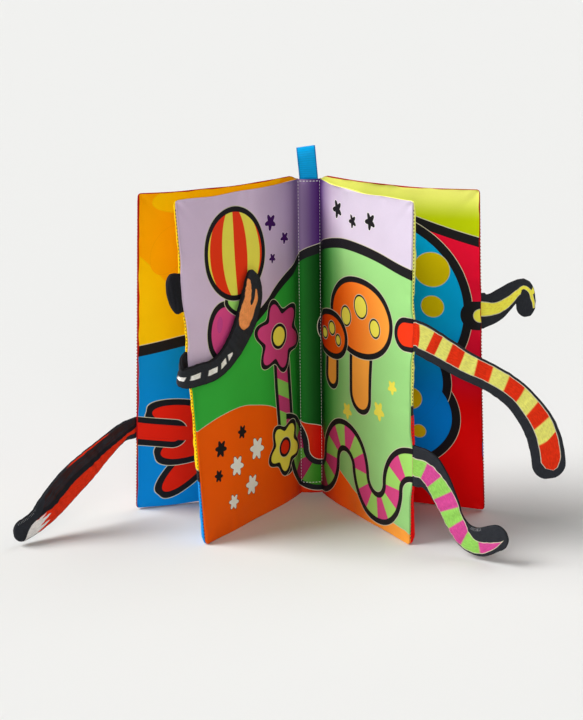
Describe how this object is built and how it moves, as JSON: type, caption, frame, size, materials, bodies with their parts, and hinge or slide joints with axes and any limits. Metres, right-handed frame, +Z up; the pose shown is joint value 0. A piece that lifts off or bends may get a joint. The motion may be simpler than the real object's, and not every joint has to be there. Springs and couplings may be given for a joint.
{
  "type": "cloth book",
  "caption": "Soft cloth book standing open like a fan: padded pages and covers on a soft spine, a ribbon loop on top and stuffed tails sewn into the fore-edges.",
  "frame": {"origin": "middle of the spine's foot, on the surface that the book stands on", "axes": "+Z up the spine, +X to the reader's right, +Y behind the spine; the leaves open towards -Y"},
  "size_m": [0.3663, 0.1568, 0.2534],
  "materials": {
    "spine_front_fabric": "printed satin-finish polyester cloth",
    "spine_foam": "open-cell polyester foam",
    "spine_back_fabric": "plain polyester cloth",
    "ribbon_loop": "satin woven ribbon",
    "left_page_front_fabric": "printed satin-finish polyester cloth",
    "left_page_back_fabric": "printed satin-finish polyester cloth",
    "left_page_foam": "open-cell polyester foam",
    "right_page_front_fabric": "printed satin-finish polyester cloth",
    "right_page_back_fabric": "printed satin-finish polyester cloth",
    "right_page_foam": "open-cell polyester foam",
    "left_cover_inner_fabric": "printed satin-finish polyester cloth",
    "left_cover_outer_fabric": "plain polyester cloth",
    "left_cover_foam": "open-cell polyester foam",
    "right_cover_inner_fabric": "printed satin-finish polyester cloth",
    "right_cover_outer_fabric": "plain polyester cloth",
    "right_cover_foam": "open-cell polyester foam",
    "brush_tail_front_fabric": "printed satin-finish polyester cloth",
    "brush_tail_back_fabric": "printed satin-finish polyester cloth",
    "brush_tail_wadding": "loose polyester wadding",
    "stub_tail_front_fabric": "printed satin-finish polyester cloth",
    "stub_tail_back_fabric": "printed satin-finish polyester cloth",
    "stub_tail_wadding": "loose polyester wadding",
    "curled_tail_front_fabric": "printed satin-finish polyester cloth",
    "curled_tail_back_fabric": "printed satin-finish polyester cloth",
    "curled_tail_wadding": "loose polyester wadding",
    "striped_tail_front_fabric": "printed satin-finish polyester cloth",
    "striped_tail_back_fabric": "printed satin-finish polyester cloth",
    "striped_tail_wadding": "loose polyester wadding",
    "ringed_tail_front_fabric": "printed satin-finish polyester cloth",
    "ringed_tail_back_fabric": "printed satin-finish polyester cloth",
    "ringed_tail_wadding": "loose polyester wadding",
    "banded_tail_front_fabric": "printed satin-finish polyester cloth",
    "banded_tail_back_fabric": "printed satin-finish polyester cloth",
    "banded_tail_wadding": "loose polyester wadding"
  },
  "bodies": {
    "spine": {"spine_front_fabric": "spine_front_fabric", "spine_foam": "spine_foam", "spine_back_fabric": "spine_back_fabric"},
    "ribbon_loop": {"ribbon_loop": "ribbon_loop"},
    "left_page": {"left_page_front_fabric": "left_page_front_fabric", "left_page_back_fabric": "left_page_back_fabric", "left_page_foam": "left_page_foam"},
    "right_page": {"right_page_front_fabric": "right_page_front_fabric", "right_page_back_fabric": "right_page_back_fabric", "right_page_foam": "right_page_foam"},
    "left_cover": {"left_cover_inner_fabric": "left_cover_inner_fabric", "left_cover_outer_fabric": "left_cover_outer_fabric", "left_cover_foam": "left_cover_foam"},
    "right_cover": {"right_cover_inner_fabric": "right_cover_inner_fabric", "right_cover_outer_fabric": "right_cover_outer_fabric", "right_cover_foam": "right_cover_foam"},
    "brush_tail": {"brush_tail_front_fabric": "brush_tail_front_fabric", "brush_tail_back_fabric": "brush_tail_back_fabric", "brush_tail_wadding": "brush_tail_wadding"},
    "stub_tail": {"stub_tail_front_fabric": "stub_tail_front_fabric", "stub_tail_back_fabric": "stub_tail_back_fabric", "stub_tail_wadding": "stub_tail_wadding"},
    "curled_tail": {"curled_tail_front_fabric": "curled_tail_front_fabric", "curled_tail_back_fabric": "curled_tail_back_fabric", "curled_tail_wadding": "curled_tail_wadding"},
    "striped_tail": {"striped_tail_front_fabric": "striped_tail_front_fabric", "striped_tail_back_fabric": "striped_tail_back_fabric", "striped_tail_wadding": "striped_tail_wadding"},
    "ringed_tail": {"ringed_tail_front_fabric": "ringed_tail_front_fabric", "ringed_tail_back_fabric": "ringed_tail_back_fabric", "ringed_tail_wadding": "ringed_tail_wadding"},
    "banded_tail": {"banded_tail_front_fabric": "banded_tail_front_fabric", "banded_tail_back_fabric": "banded_tail_back_fabric", "banded_tail_wadding": "banded_tail_wadding"}
  },
  "joints": [
    {"name": "left_page_hinge", "type": "hinge", "parent": "spine", "child": "left_page", "pos_m": [-0.00825, -0.00125, 0], "axis": [0, 0, 1], "range_deg": [-6, 37]},
    {"name": "right_page_hinge", "type": "hinge", "parent": "spine", "child": "right_page", "pos_m": [0.00825, -0.00125, 0], "axis": [0, 0, 1], "range_deg": [-28, 14]},
    {"name": "left_cover_hinge", "type": "hinge", "parent": "spine", "child": "left_cover", "pos_m": [-0.00825, 0.00125, 0], "axis": [0, 0, 1], "range_deg": [-112, 6]},
    {"name": "right_cover_hinge", "type": "hinge", "parent": "spine", "child": "right_cover", "pos_m": [0.00825, 0.00125, 0], "axis": [0, 0, 1], "range_deg": [-10, 112]},
    {"name": "ribbon_hinge", "type": "hinge", "parent": "spine", "child": "ribbon_loop", "pos_m": [0, 0, 0.2308], "axis": [1, 0, 0], "range_deg": [-60, 60]},
    {"name": "brush_tail_hinge", "type": "hinge", "parent": "left_cover", "child": "brush_tail", "pos_m": [-0.12375, -0.03803, 0.0623], "axis": [0.0526, -0.1247, 0.9908], "range_deg": [-90, 50]},
    {"name": "stub_tail_hinge", "type": "hinge", "parent": "left_page", "child": "stub_tail", "pos_m": [-0.08531, -0.09586, 0.17], "axis": [-0.0649, 0.04, 0.9971], "range_deg": [-55, 70]},
    {"name": "curled_tail_hinge", "type": "hinge", "parent": "left_page", "child": "curled_tail", "pos_m": [-0.08224, -0.09794, 0.1213], "axis": [-0.0607, 0.045, 0.9971], "range_deg": [-70, 0]},
    {"name": "striped_tail_hinge", "type": "hinge", "parent": "right_page", "child": "striped_tail", "pos_m": [0.06641, -0.10818, 0.1425], "axis": [0.0052, -0.0012, 1], "range_deg": [-100, 15]},
    {"name": "ringed_tail_hinge", "type": "hinge", "parent": "right_page", "child": "ringed_tail", "pos_m": [0.0663, -0.10863, 0.0548], "axis": [-0.0024, 0.0117, 0.9999], "range_deg": [-95, 50]},
    {"name": "banded_tail_hinge", "type": "hinge", "parent": "right_cover", "child": "banded_tail", "pos_m": [0.11608, -0.05532, 0.1465], "axis": [-0.0372, -0.081, 0.996], "range_deg": [-90, 55]}
  ]
}
